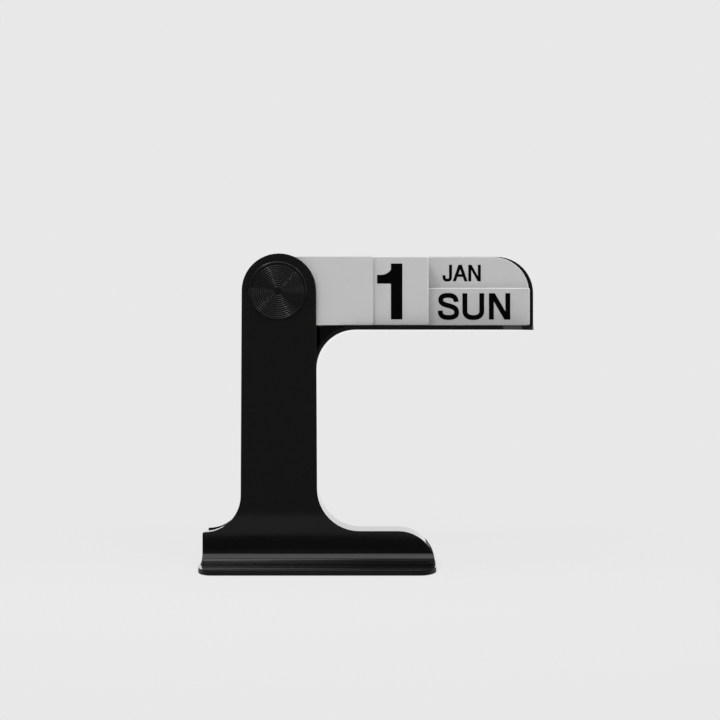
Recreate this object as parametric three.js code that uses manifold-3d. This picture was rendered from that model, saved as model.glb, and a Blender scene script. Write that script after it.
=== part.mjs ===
// A perpetual desk calendar: a black C-shaped stand whose upright carries a pin, and thirty-three
// flat cards that turn on the pin. A card lies along the arm to be read, or is turned up and over
// to the left and hangs out of sight in the hollow upright.
// Millimetres, +Z up, front faces -Y. The origin is on the table below the pin, at mid depth.
import * as THREE from "three";
import { mergeVertices } from "three/addons/utils/BufferGeometryUtils.js";
import Module from "manifold-3d";

const wasm = await Module();
wasm.setup();

// Stand, seen from the front
const PIN_HEIGHT = 141.4;
const COLUMN_SHIFT = 0.5;
const COLUMN_HALF_WIDTH = 19.45;
const TOP_RADIUS = 18.95;
const ARM_END = 131.7;
const ARM_DROP = 0.45;
const ARM_CORNER = 18.9;
const ARM_FILLET = 19.8;
const BASE_LEFT = 38.35;
const REAR_INSET = 0.6;
const BASE_RIGHT = 80.4;
const BASE_HEIGHT = 19.05;
const LEFT_HEIGHT = 18.5;
const LEFT_FILLET = 18.65;
const LEFT_CORNER = 0.7;
const LOW_FILLET = 21.5;

// Stand, seen from the side and from above
const COLUMN_DEPTH = 27;
const PLATE = 2.2;
const LEDGE = 2.25;
const BASE_SKIN = 2;
const END_WALL = 2;
const LEDGE_CORNER = 19;
const RETURN_DEPTH = 8;
const RETURN_SKIN = 1.4;
const RETURN_RISE = 12;
const FOOT_REACH = 31;
const FOOT_EDGE = 2.6;
const FOOT_SWEEP = 5.8;
const FOOT_FLARE = 0.8;
const FOOT_CORNER = 8.5;
const FOOT_CORNER_DEPTH = 21;

// Pin: a sleeve through the stack, closed by a grooved disc at each end
const SLEEVE_RADIUS = 6;
const SLEEVE_BORE = 4.6;
const DISC_RADIUS = 14.85;
const DISC_THICKNESS = 1.4;
const DISC_RIM = 0.9;
const GROOVES = 11;
const GROOVE_DEPTH = 0.3;
const STEM_LENGTH = 10;
const PIN_CLEARANCE = 0.3;

// Cards
const CARD_THICKNESS = 0.5;
const CARD_HALF_HEIGHT = 17.45;
const MONTH_TOP = 17.9;
const MONTH_CORNER = 18.3;
const CARD_CORNER = 0.8;
const CARD_CLEARANCE = 0.2;
const STACK_CLEARANCE = 0.15;
const SWEEP_CLEARANCE = 0.8;
const TENS_LENGTH = 48.3;
const UNITS_LENGTH = 76.7;
const LONG_LENGTH = 129;
const WEEKDAY_TOP = 1.8;
const WEEKDAY_STEP = 74;

// Base cover and its screws
const COVER = 1.8;
const COVER_CLEARANCE = 0.3;
const SCREW_LEFT = 28;
const SCREW_RIGHT = 66;
const BOSS_RADIUS = 3.4;
const BOSS_TOP = 11;
const BOSS_LAP = 1.2;
const SCREW_RADIUS = 1.2;
const SCREW_HEAD = 2.5;
const HEAD_THICKNESS = 0.9;
const HEAD_RECESS = 0.2;
const SCREW_LENGTH = 7.5;
const SCREW_CLEARANCE = 0.3;

// How far a cut runs past what it cuts
const OVERRUN = 5;

// Facets
const QUARTER = Math.PI / 2;
const QUARTER_STEPS = 12;
const CORNER_STEPS = 2;
const CARD_END_STEPS = 12;
const BORE_STEPS = 16;
const DISC_STEPS = 32;
const SCREW_STEPS = 12;

const HALF_DEPTH = COLUMN_DEPTH / 2;
const HALF_SLOT = HALF_DEPTH - PLATE;
const LEDGE_TOP = PIN_HEIGHT - CARD_HALF_HEIGHT - CARD_CLEARANCE;
const LEDGE_BOTTOM = LEDGE_TOP - LEDGE;
const SLOT_WALL = MONTH_TOP + CARD_CLEARANCE;
const ROOF = PIN_HEIGHT + TOP_RADIUS;
const ARM_TOP = ROOF - ARM_DROP;
const SWEEP_START = FOOT_EDGE + FOOT_SWEEP;
const CARD_SWEEP = Math.hypot(LONG_LENGTH, MONTH_TOP) + SWEEP_CLEARANCE;
const END_WALL_INSIDE = BASE_LEFT - END_WALL;
const END_WALL_TOP = PIN_HEIGHT - Math.sqrt(CARD_SWEEP ** 2 - END_WALL_INSIDE ** 2);
const BOSS_Y = HALF_SLOT - BOSS_RADIUS + BOSS_LAP;

const BLACK = 0x191817;
const DISC_BLACK = 0x24262a;
const WHITE = 0xd2d2d0;
const STEEL = 0x8f9194;

// Adds an arc to a shape as straight steps, its first and last points included. A second radius
// makes it an arc of an ellipse.
function addArc(path, x, z, radius, from, to, steps = QUARTER_STEPS, upright = radius) {
  for (let i = 0; i <= steps; i++) {
    const angle = from + ((to - from) * i) / steps;
    path.lineTo(x + radius * Math.cos(angle), z + upright * Math.sin(angle));
  }
}

// A round hole or disc outline.
function circle(PathType, x, z, radius, steps) {
  const path = new PathType();
  path.moveTo(x + radius, z);
  addArc(path, x, z, radius, 0, 4 * QUARTER * (1 - 1 / steps), steps - 1);
  return path;
}

// A shape drawn in x and z, solid between two depths.
function alongY(shape, from, to) {
  const geometry = new THREE.ExtrudeGeometry(shape, { depth: to - from, bevelEnabled: false });
  return geometry.rotateX(QUARTER).translate(0, to, 0);
}

// A shape drawn in y and z, solid between two values of x.
function alongX(shape, from, to) {
  const geometry = new THREE.ExtrudeGeometry(shape, { depth: to - from, bevelEnabled: false });
  const turn = new THREE.Matrix4().makeBasis(
    new THREE.Vector3(0, 1, 0),
    new THREE.Vector3(0, 0, 1),
    new THREE.Vector3(1, 0, 0),
  );
  return geometry.applyMatrix4(turn).translate(from, 0, 0);
}

// A shape drawn in x and y, solid between two heights.
function alongZ(shape, from, to) {
  const geometry = new THREE.ExtrudeGeometry(shape, { depth: to - from, bevelEnabled: false });
  return geometry.translate(0, 0, from);
}

// A closed geometry as a solid that can be cut and joined.
function solid(geometry) {
  const bare = geometry.clone();
  bare.deleteAttribute("normal");
  bare.deleteAttribute("uv");
  const merged = mergeVertices(bare);
  return new wasm.Manifold(
    new wasm.Mesh({
      numProp: 3,
      vertProperties: merged.attributes.position.array,
      triVerts: new Uint32Array(merged.index.array),
    }),
  );
}

// A cut or joined solid as a geometry again.
function geometryOf(made) {
  const mesh = made.getMesh();
  const geometry = new THREE.BufferGeometry();
  geometry.setAttribute("position", new THREE.BufferAttribute(mesh.vertProperties, mesh.numProp));
  geometry.setIndex(new THREE.BufferAttribute(mesh.triVerts, 1));
  geometry.computeVertexNormals();
  return geometry;
}

function piece(name, geometry, color, roughness, metalness = 0) {
  const material = new THREE.MeshStandardMaterial({ color, roughness, metalness });
  const mesh = new THREE.Mesh(geometry, material);
  mesh.name = name;
  return mesh;
}

// How far the upright's right side lies from the pin at a height: it widens a little downwards.
function rightSideAt(z) {
  const foot = BASE_HEIGHT + LOW_FILLET;
  const share = (PIN_HEIGHT - z) / (PIN_HEIGHT - foot);
  return COLUMN_SHIFT + TOP_RADIUS + (COLUMN_HALF_WIDTH - TOP_RADIUS) * share;
}

// The lower left of the stand's outline: from the table up the flared end and round to the upright.
// The end's top corner is rounded as far as the fillet that follows leaves room.
function addLeftSide(shape, inset) {
  const end = BASE_LEFT - inset;
  const fillet = COLUMN_HALF_WIDTH - COLUMN_SHIFT + LEFT_FILLET;
  const round = THREE.MathUtils.clamp(end - fillet, LEFT_CORNER / 10, LEFT_CORNER);
  const flare = end + FOOT_FLARE;
  shape.moveTo(-flare, 0);
  addArc(shape, -flare, SWEEP_START, FOOT_FLARE, -QUARTER, 0, QUARTER_STEPS, FOOT_SWEEP);
  addArc(shape, -end + round, LEFT_HEIGHT - round, round, 2 * QUARTER, QUARTER, CORNER_STEPS);
  addArc(shape, -fillet, LEFT_HEIGHT + LEFT_FILLET, LEFT_FILLET, -QUARTER, 0);
}

// The lower right: down the upright, round onto the base and over the hump to the table.
function addRightSide(shape) {
  const fillet = COLUMN_SHIFT + COLUMN_HALF_WIDTH + LOW_FILLET;
  addArc(shape, fillet, BASE_HEIGHT + LOW_FILLET, LOW_FILLET, 2 * QUARTER, 3 * QUARTER);
  addArc(shape, BASE_RIGHT - BASE_HEIGHT, 0, BASE_HEIGHT, QUARTER, 0);
}

// The front plate: upright with a round top, standing on the base. The rear foot has the same
// outline with its left end set in.
function frontOutline(inset = 0) {
  const shape = new THREE.Shape();
  addLeftSide(shape, inset);
  addArc(shape, COLUMN_SHIFT, PIN_HEIGHT, TOP_RADIUS, 2 * QUARTER, 0, 2 * QUARTER_STEPS);
  addRightSide(shape);
  return shape;
}

// The rear plate: the whole C, with the arm to the right.
function rearOutline() {
  const shape = new THREE.Shape();
  addLeftSide(shape, REAR_INSET);
  const armStart = Math.asin((TOP_RADIUS - ARM_DROP) / TOP_RADIUS);
  addArc(shape, COLUMN_SHIFT, PIN_HEIGHT, TOP_RADIUS, 2 * QUARTER, armStart);
  addArc(shape, ARM_END - ARM_CORNER, ARM_TOP - ARM_CORNER, ARM_CORNER, QUARTER, 0);
  shape.lineTo(ARM_END, LEDGE_BOTTOM);
  const filletZ = LEDGE_BOTTOM - ARM_FILLET;
  addArc(shape, rightSideAt(filletZ) + ARM_FILLET, filletZ, ARM_FILLET, QUARTER, 2 * QUARTER);
  addRightSide(shape);
  return shape;
}

// Everything inside the stand's skin: the cards' space above the ledge and in the upright, and
// the hollow base. It is open to the left, where the cards swing in, and at the bottom.
function hollowOutline() {
  const shape = new THREE.Shape();
  const armCentre = rightSideAt(LEDGE_BOTTOM - ARM_FILLET) + ARM_FILLET;
  const armFillet = armCentre - SLOT_WALL;
  const lowCentre = COLUMN_SHIFT + COLUMN_HALF_WIDTH + LOW_FILLET;
  const lowFillet = lowCentre - SLOT_WALL;
  const left = -BASE_LEFT - OVERRUN;
  shape.moveTo(left, END_WALL_TOP);
  shape.lineTo(left, ROOF + OVERRUN);
  shape.lineTo(ARM_END + OVERRUN, ROOF + OVERRUN);
  shape.lineTo(ARM_END + OVERRUN, LEDGE_TOP);
  addArc(shape, armCentre, LEDGE_TOP - armFillet, armFillet, QUARTER, 2 * QUARTER);
  addArc(shape, lowCentre, BASE_HEIGHT - BASE_SKIN + lowFillet, lowFillet, 2 * QUARTER, 3 * QUARTER);
  addArc(shape, BASE_RIGHT - BASE_HEIGHT, 0, BASE_HEIGHT - BASE_SKIN, QUARTER, 0);
  shape.lineTo(BASE_RIGHT - BASE_SKIN, -OVERRUN);
  shape.lineTo(-END_WALL_INSIDE, -OVERRUN);
  shape.lineTo(-END_WALL_INSIDE, END_WALL_TOP);
  return shape;
}

// A foot seen from the side, on the front: the plate sweeps out into a thin, flat foot.
function footProfile() {
  const shape = new THREE.Shape();
  const toe = -HALF_DEPTH - FOOT_REACH;
  shape.moveTo(-HALF_SLOT, 0);
  shape.lineTo(-HALF_SLOT, SWEEP_START);
  addArc(shape, -HALF_DEPTH - FOOT_SWEEP, SWEEP_START, FOOT_SWEEP, 0, -QUARTER);
  shape.lineTo(toe, FOOT_EDGE);
  shape.lineTo(toe, 0);
  return shape;
}

// The hollow behind the sweep of a foot, one plate thickness inside it.
function footHollowProfile() {
  const shape = new THREE.Shape();
  const radius = FOOT_SWEEP + PLATE;
  shape.moveTo(-HALF_SLOT + OVERRUN, -OVERRUN);
  shape.lineTo(-HALF_SLOT + OVERRUN, SWEEP_START);
  addArc(shape, -HALF_DEPTH - FOOT_SWEEP, SWEEP_START, radius, 0, -QUARTER);
  shape.lineTo(-HALF_DEPTH - FOOT_SWEEP, -OVERRUN);
  return shape;
}

// The base seen from above: each foot's corners are quarters of a long ellipse.
function basePlan() {
  const shape = new THREE.Shape();
  const left = -BASE_LEFT - FOOT_FLARE + FOOT_CORNER;
  const right = BASE_RIGHT - FOOT_CORNER;
  const side = HALF_DEPTH + FOOT_REACH - FOOT_CORNER_DEPTH;
  shape.moveTo(left, -HALF_DEPTH - FOOT_REACH);
  const corner = (x, y, from) =>
    addArc(shape, x, y, FOOT_CORNER, from, from + QUARTER, QUARTER_STEPS, FOOT_CORNER_DEPTH);
  corner(right, -side, -QUARTER);
  corner(right, side, 0);
  corner(left, side, QUARTER);
  corner(left, -side, 2 * QUARTER);
  return shape;
}

// The arm seen from above: the ledge's front corner is rounded.
function armPlan() {
  const shape = new THREE.Shape();
  const left = -BASE_LEFT - OVERRUN;
  shape.moveTo(left, -HALF_DEPTH);
  addArc(shape, ARM_END - LEDGE_CORNER, -HALF_DEPTH + LEDGE_CORNER, LEDGE_CORNER, -QUARTER, 0);
  shape.lineTo(ARM_END, HALF_DEPTH);
  shape.lineTo(left, HALF_DEPTH);
  return shape;
}

// The front foot as a solid: side profile, plan and front outline in one, less its hollow.
function footSolid(inset) {
  const left = -BASE_LEFT - OVERRUN;
  const right = BASE_RIGHT + OVERRUN;
  const toe = HALF_DEPTH + FOOT_REACH + OVERRUN;
  const side = solid(alongX(footProfile(), left, right));
  const plan = solid(alongZ(basePlan(), -OVERRUN, BASE_HEIGHT));
  const front = solid(alongY(frontOutline(inset), -toe, toe));
  return side.intersect(plan).intersect(front);
}

function footHollow() {
  const toe = HALF_DEPTH + FOOT_REACH + OVERRUN;
  const side = solid(alongX(footHollowProfile(), -BASE_LEFT, BASE_RIGHT));
  return side.intersect(solid(alongY(hollowOutline(), -toe, toe)));
}

// The two screw bosses of the front shell, each lapped into the plate behind it.
function bosses() {
  const made = [-SCREW_LEFT, SCREW_RIGHT].map((x) => {
    const outer = circle(THREE.Shape, x, -BOSS_Y, BOSS_RADIUS, BORE_STEPS);
    outer.holes.push(circle(THREE.Path, x, -BOSS_Y, SCREW_RADIUS + SCREW_CLEARANCE, SCREW_STEPS));
    return solid(alongZ(outer, COVER, BOSS_TOP));
  });
  return made[0].add(made[1]);
}

// The bosses' screw holes, which also run through the lap.
function screwHoles() {
  const made = [-SCREW_LEFT, SCREW_RIGHT].map((x) => {
    const hole = circle(THREE.Shape, x, -BOSS_Y, SCREW_RADIUS + SCREW_CLEARANCE, SCREW_STEPS);
    return solid(alongZ(hole, -OVERRUN, BOSS_TOP + OVERRUN));
  });
  return made[0].add(made[1]);
}

function pinHole() {
  const hole = circle(THREE.Shape, 0, PIN_HEIGHT, SLEEVE_RADIUS + PIN_CLEARANCE, 2 * BORE_STEPS);
  return solid(alongY(hole, -HALF_DEPTH - OVERRUN, HALF_DEPTH + OVERRUN));
}

// The front plate's left edge turns back here as a strip, from the base's end round its fillet
// and some way up the upright. The cards that swing past this far forward are too short to reach it.
function leftReturn() {
  const shape = new THREE.Shape();
  const side = COLUMN_HALF_WIDTH - COLUMN_SHIFT;
  const x = -side - LEFT_FILLET;
  const z = LEFT_HEIGHT + LEFT_FILLET;
  shape.moveTo(x, LEFT_HEIGHT);
  addArc(shape, x, z, LEFT_FILLET, -QUARTER, 0);
  shape.lineTo(-side, z + RETURN_RISE);
  shape.lineTo(-side + RETURN_SKIN, z + RETURN_RISE);
  addArc(shape, x, z, LEFT_FILLET + RETURN_SKIN, 0, -QUARTER);
  const strip = solid(alongY(shape, -HALF_DEPTH, -HALF_DEPTH + RETURN_DEPTH));
  return strip.intersect(solid(alongY(frontOutline(), -HALF_DEPTH, HALF_DEPTH)));
}

function frontShell() {
  const plate = solid(alongY(frontOutline(), -HALF_DEPTH, -HALF_SLOT));
  const shell = plate.add(footSolid(0)).add(leftReturn()).subtract(footHollow());
  return geometryOf(shell.add(bosses()).subtract(screwHoles()).subtract(pinHole()));
}

// The part of the rear shell that comes forward past the front plate: the ledge and its fillet.
function ledgeStrip() {
  const shape = new THREE.Shape();
  const low = LEDGE_BOTTOM - ARM_FILLET;
  shape.moveTo(rightSideAt(low), low);
  shape.lineTo(ARM_END, low);
  shape.lineTo(ARM_END, LEDGE_TOP);
  shape.lineTo(rightSideAt(LEDGE_TOP), LEDGE_TOP);
  const strip = solid(alongY(shape, -HALF_DEPTH, 0));
  return strip.intersect(solid(alongY(rearOutline(), -HALF_DEPTH, HALF_DEPTH)));
}

function rearShell() {
  const back = (made) => made.mirror([0, 1, 0]);
  const block = solid(alongY(rearOutline(), -HALF_SLOT, HALF_DEPTH)).add(ledgeStrip());
  const hollow = solid(alongY(hollowOutline(), -HALF_DEPTH - OVERRUN, HALF_SLOT));
  const arm = solid(alongZ(armPlan(), -OVERRUN, ROOF + OVERRUN));
  const shell = block.intersect(arm).subtract(hollow).add(back(footSolid(REAR_INSET)));
  const open = shell.subtract(back(footHollow())).add(back(bosses()));
  return geometryOf(open.subtract(back(screwHoles())).subtract(pinHole()));
}

// The flat cover that closes the base from below and ties the two shells together.
function baseCover() {
  const radius = FOOT_SWEEP + PLATE;
  const drop = SWEEP_START - COVER;
  const inside = HALF_DEPTH + FOOT_SWEEP - Math.sqrt(radius ** 2 - drop ** 2);
  const halfDepth = inside - COVER_CLEARANCE;
  const hump = BASE_HEIGHT - BASE_SKIN;
  const right = BASE_RIGHT - BASE_HEIGHT + Math.sqrt(hump ** 2 - COVER ** 2) - COVER_CLEARANCE;
  const left = -END_WALL_INSIDE + COVER_CLEARANCE;
  const shape = new THREE.Shape();
  shape.moveTo(left, -halfDepth);
  shape.lineTo(right, -halfDepth);
  shape.lineTo(right, halfDepth);
  shape.lineTo(left, halfDepth);
  const recesses = [];
  for (const [x, y] of screwPlaces()) {
    shape.holes.push(circle(THREE.Path, x, y, SCREW_RADIUS + SCREW_CLEARANCE, SCREW_STEPS));
    const recess = circle(THREE.Shape, x, y, SCREW_HEAD + SCREW_CLEARANCE, SCREW_STEPS);
    recesses.push(solid(alongZ(recess, -OVERRUN, HEAD_RECESS + HEAD_THICKNESS)));
  }
  const plate = solid(alongZ(shape, 0, COVER));
  return geometryOf(recesses.reduce((made, recess) => made.subtract(recess), plate));
}

function screwPlaces() {
  return [-SCREW_LEFT, SCREW_RIGHT].flatMap((x) => [-BOSS_Y, BOSS_Y].map((y) => [x, y]));
}

// A screw, head down, turned round its own axis.
function screwGeometry() {
  const profile = [
    [0, 0],
    [SCREW_HEAD, 0],
    [SCREW_HEAD, HEAD_THICKNESS],
    [SCREW_RADIUS, HEAD_THICKNESS],
    [SCREW_RADIUS, SCREW_LENGTH],
    [0, SCREW_LENGTH],
  ].map(([r, y]) => new THREE.Vector2(r, y));
  return new THREE.LatheGeometry(profile, SCREW_STEPS);
}

function sleeveGeometry() {
  const profile = [
    [SLEEVE_BORE, -HALF_DEPTH],
    [SLEEVE_RADIUS, -HALF_DEPTH],
    [SLEEVE_RADIUS, HALF_DEPTH],
    [SLEEVE_BORE, HALF_DEPTH],
    [SLEEVE_BORE, -HALF_DEPTH],
  ].map(([r, y]) => new THREE.Vector2(r, y));
  return new THREE.LatheGeometry(profile, 2 * BORE_STEPS);
}

// A disc of the pin: concentric grooves inside a plain rim, and a stem that enters the sleeve.
// It is turned about Y with its grooved face at the lower end and its back at zero.
function discGeometry() {
  const stem = SLEEVE_BORE - PIN_CLEARANCE;
  const inner = DISC_RADIUS - DISC_RIM;
  const pitch = inner / GROOVES;
  const profile = [[0, -DISC_THICKNESS]];
  for (let i = 0; i < GROOVES; i++) {
    profile.push([(i + 0.5) * pitch, -DISC_THICKNESS + GROOVE_DEPTH]);
    profile.push([(i + 1) * pitch, -DISC_THICKNESS]);
  }
  profile.push([DISC_RADIUS, -DISC_THICKNESS], [DISC_RADIUS, 0], [stem, 0]);
  profile.push([stem, STEM_LENGTH], [0, STEM_LENGTH]);
  const points = profile.map(([r, y]) => new THREE.Vector2(r, y));
  return new THREE.LatheGeometry(points, DISC_STEPS);
}

// A card with its round inner end about the pin. A long card can have its outer part cut down to
// a lower top edge from a step outwards, or a higher top edge and a rounded outer top corner.
function cardGeometry(length, { top = 0, topCorner = CARD_CORNER, step = 0, stepTop = 0 } = {}) {
  const shape = new THREE.Shape();
  const end = length - CARD_CORNER;
  const half = CARD_HALF_HEIGHT;
  const high = top || half;
  shape.moveTo(0, high);
  addArc(shape, 0, 0, half, QUARTER, 3 * QUARTER, CARD_END_STEPS);
  addArc(shape, end, -half + CARD_CORNER, CARD_CORNER, -QUARTER, 0, CORNER_STEPS);
  if (step) {
    addArc(shape, end, stepTop - CARD_CORNER, CARD_CORNER, 0, QUARTER, CORNER_STEPS);
    shape.lineTo(step, stepTop);
    addArc(shape, step - CARD_CORNER, half - CARD_CORNER, CARD_CORNER, 0, QUARTER, CORNER_STEPS);
  } else {
    const steps = topCorner > CARD_CORNER ? QUARTER_STEPS : CORNER_STEPS;
    addArc(shape, length - topCorner, high - topCorner, topCorner, 0, QUARTER, steps);
  }
  shape.holes.push(circle(THREE.Path, 0, 0, SLEEVE_RADIUS + PIN_CLEARANCE, BORE_STEPS));
  return alongY(shape, -CARD_THICKNESS / 2, CARD_THICKNESS / 2);
}

// The four groups of cards, front to back.
const WEEKDAYS = ["sun", "mon", "tue", "wed", "thu", "fri", "sat"];
const MONTHS = ["jan", "feb", "mar", "apr", "may", "jun", "jul", "aug", "sep", "oct", "nov", "dec"];
const CARDS = [
  { name: "tens_card", marks: ["blank", "1", "2", "3"], geometry: cardGeometry(TENS_LENGTH) },
  {
    name: "units_card",
    marks: ["1", "2", "3", "4", "5", "6", "7", "8", "9", "0"],
    geometry: cardGeometry(UNITS_LENGTH),
  },
  {
    name: "weekday_card",
    marks: WEEKDAYS,
    geometry: cardGeometry(LONG_LENGTH, { step: WEEKDAY_STEP, stepTop: WEEKDAY_TOP }),
  },
  {
    name: "month_card",
    marks: MONTHS,
    geometry: cardGeometry(LONG_LENGTH, { top: MONTH_TOP, topCorner: MONTH_CORNER }),
  },
];

function addCards(parent) {
  const count = CARDS.reduce((sum, group) => sum + group.marks.length, 0);
  const pitch = (2 * (HALF_SLOT - STACK_CLEARANCE) - CARD_THICKNESS) / (count - 1);
  let y = -HALF_SLOT + STACK_CLEARANCE + CARD_THICKNESS / 2;
  for (const { name, marks, geometry } of CARDS) {
    for (const mark of marks) {
      const card = piece(name + "_" + mark, geometry, WHITE, 0.45);
      card.position.set(0, y, PIN_HEIGHT);
      parent.add(card);
      y += pitch;
    }
  }
}

function addPin(parent) {
  const pin = new THREE.Group();
  pin.position.z = PIN_HEIGHT;
  pin.add(piece("pivot_sleeve", sleeveGeometry(), BLACK, 0.4));
  const front = piece("front_disc", discGeometry(), DISC_BLACK, 0.25);
  front.position.y = -HALF_DEPTH;
  const rear = piece("rear_disc", discGeometry(), DISC_BLACK, 0.25);
  rear.rotation.x = Math.PI;
  rear.position.y = HALF_DEPTH;
  pin.add(front, rear);
  parent.add(pin);
}

function addScrews(parent) {
  screwPlaces().forEach(([x, y], i) => {
    const screw = piece("base_screw_" + (i + 1), screwGeometry(), STEEL, 0.35, 1);
    screw.rotation.x = QUARTER;
    screw.position.set(x, y, HEAD_RECESS);
    parent.add(screw);
  });
}

const calendar = new THREE.Group();
calendar.name = "perpetual_desk_calendar";
calendar.add(piece("front_shell", frontShell(), BLACK, 0.35));
calendar.add(piece("rear_shell", rearShell(), BLACK, 0.35));
calendar.add(piece("base_cover", baseCover(), BLACK, 0.6));
addPin(calendar);
addScrews(calendar);
addCards(calendar);

export default calendar;
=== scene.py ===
"""A perpetual desk calendar: a black moulded stand, a grooved pin and thirty-three white cards."""

import math

import bmesh
import bpy
from bpy.props import FloatProperty, FloatVectorProperty, IntProperty, PointerProperty
from bpy.types import Operator, Panel, PropertyGroup
from mathutils import Matrix, Vector


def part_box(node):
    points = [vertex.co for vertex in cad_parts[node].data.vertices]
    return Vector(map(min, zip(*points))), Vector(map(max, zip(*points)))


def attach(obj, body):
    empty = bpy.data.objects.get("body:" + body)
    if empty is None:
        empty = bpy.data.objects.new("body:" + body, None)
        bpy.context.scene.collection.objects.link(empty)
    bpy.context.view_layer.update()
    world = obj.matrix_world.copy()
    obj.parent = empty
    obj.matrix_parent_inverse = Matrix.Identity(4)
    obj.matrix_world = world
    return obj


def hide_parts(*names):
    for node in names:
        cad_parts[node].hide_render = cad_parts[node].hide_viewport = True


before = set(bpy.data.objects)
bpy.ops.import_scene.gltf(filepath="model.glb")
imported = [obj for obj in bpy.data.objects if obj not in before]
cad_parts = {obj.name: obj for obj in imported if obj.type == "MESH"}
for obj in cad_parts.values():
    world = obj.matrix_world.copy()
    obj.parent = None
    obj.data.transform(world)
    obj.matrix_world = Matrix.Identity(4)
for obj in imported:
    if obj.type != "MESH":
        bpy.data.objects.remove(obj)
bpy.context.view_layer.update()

bl_info = {
    "name": "Perpetual desk calendar",
    "version": (1, 0, 0),
    "blender": (4, 5, 0),
    "location": "3D View > Sidebar > Calendar",
    "description": "Dresses the stand, the pin and the turning cards of a desk calendar",
    "category": "Object",
}

MM = 0.001

SLEEVE_LOW, SLEEVE_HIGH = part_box("pivot_sleeve")
PIN = (SLEEVE_LOW + SLEEVE_HIGH) / 2
FACE_Y = SLEEVE_LOW.y
SEAM_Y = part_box("front_shell")[1].y
DISC_LOW, DISC_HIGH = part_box("front_disc")
DISC_RADIUS = DISC_HIGH.x
DISC_FACE_Y = DISC_LOW.y
STEM_END_Y = DISC_HIGH.y
# The height where the foot's sweep begins, and the one below which the inside of the base is out of sight
SWEEP_TOP = 8.5 * MM
SLOT_FLOOR = 14 * MM
# The sleeve's wall and the clearance inside it, together
STEM_INSET = 1.7 * MM
# Where the lamps point
LIT_POINT = Vector((0.04, 0, 0.08))
# How far off a point may lie and still count as in a plane
NEAR = 0.01 * MM
# An edge that turns more than this is rounded, and one that turns less than the next is shaded smooth
EDGE_ANGLE = math.radians(32)
SMOOTH_ANGLE = math.radians(30)

TENS = ["blank", "1", "2", "3"]
UNITS = ["1", "2", "3", "4", "5", "6", "7", "8", "9", "0"]
WEEKDAYS = ["sun", "mon", "tue", "wed", "thu", "fri", "sat"]
MONTHS = ["jan", "feb", "mar", "apr", "may", "jun", "jul", "aug", "sep", "oct", "nov", "dec"]


class StandSettings(PropertyGroup):
    """The moulded stand"""

    edge: FloatProperty(
        name="Edge rounding",
        description="Radius of the rounded edges of the two shells",
        default=0.35 * MM,
        unit="LENGTH",
    )
    face_edge: FloatProperty(
        name="Face rounding",
        description="Radius of the softer edge round the upright's front",
        default=1.1 * MM,
        unit="LENGTH",
    )
    black: FloatVectorProperty(
        name="Black",
        description="Colour of the moulded plastic",
        subtype="COLOR",
        size=3,
        default=(0.0045, 0.0043, 0.004),
    )
    roughness: FloatProperty(
        name="Roughness",
        description="Mean roughness of the moulded plastic",
        default=0.06,
        subtype="FACTOR",
    )


class PinSettings(PropertyGroup):
    """The grooved discs on both ends of the pin"""

    grooves: IntProperty(
        name="Grooves",
        description="Number of concentric grooves in a disc",
        default=11,
    )
    depth: FloatProperty(
        name="Groove depth",
        description="Depth of a groove",
        default=0.2 * MM,
        unit="LENGTH",
    )
    rim: FloatProperty(
        name="Lip width",
        description="Width of the raised lip round the disc",
        default=0.9 * MM,
        unit="LENGTH",
    )
    plain: FloatProperty(
        name="Plain ring",
        description="Width of the plain ring inside the lip",
        default=0.6 * MM,
        unit="LENGTH",
    )
    middle: FloatProperty(
        name="Plain middle",
        description="Radius of the plain middle",
        default=1.6 * MM,
        unit="LENGTH",
    )
    sides: IntProperty(
        name="Sides",
        description="Steps round a disc",
        default=160,
    )


class CardSettings(PropertyGroup):
    """The sheet of the cards and the figures printed on it"""

    edge: FloatProperty(
        name="Edge rounding",
        description="Radius of a card's back edges",
        default=0.08 * MM,
        unit="LENGTH",
    )
    face_edge: FloatProperty(
        name="Front edge rounding",
        description="Radius of a card's softer front edge",
        default=0.4 * MM,
        unit="LENGTH",
    )
    # Painted highlight: a whiter colour laid on the cards' rounded and cut edges, in place of the light
    # that catches them
    core: FloatVectorProperty(
        name="Painted highlight white",
        description="Colour of the sheet's whiter core, seen on its cut edges",
        subtype="COLOR",
        size=3,
        default=(0.92, 0.92, 0.915),
    )
    # Painted shade: the weekday cards get a darker white than the other cards, in place of the shade that
    # the ledge in front casts on them
    weekday_painted_shade: FloatVectorProperty(
        name="Weekday painted shade",
        description="Colour of the weekday cards' greyer sheet",
        subtype="COLOR",
        size=3,
        default=(0.49, 0.49, 0.487),
    )
    white: FloatVectorProperty(
        name="White",
        description="Colour of the card's sheet",
        subtype="COLOR",
        size=3,
        default=(0.505, 0.505, 0.502),
    )
    ink: FloatVectorProperty(
        name="Ink",
        description="Colour of the printed figures",
        subtype="COLOR",
        size=3,
        default=(0.001, 0.001, 0.001),
    )
    ink_height: FloatProperty(
        name="Ink height",
        description="How far the print stands up from the card",
        default=0.03 * MM,
        unit="LENGTH",
    )


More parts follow.
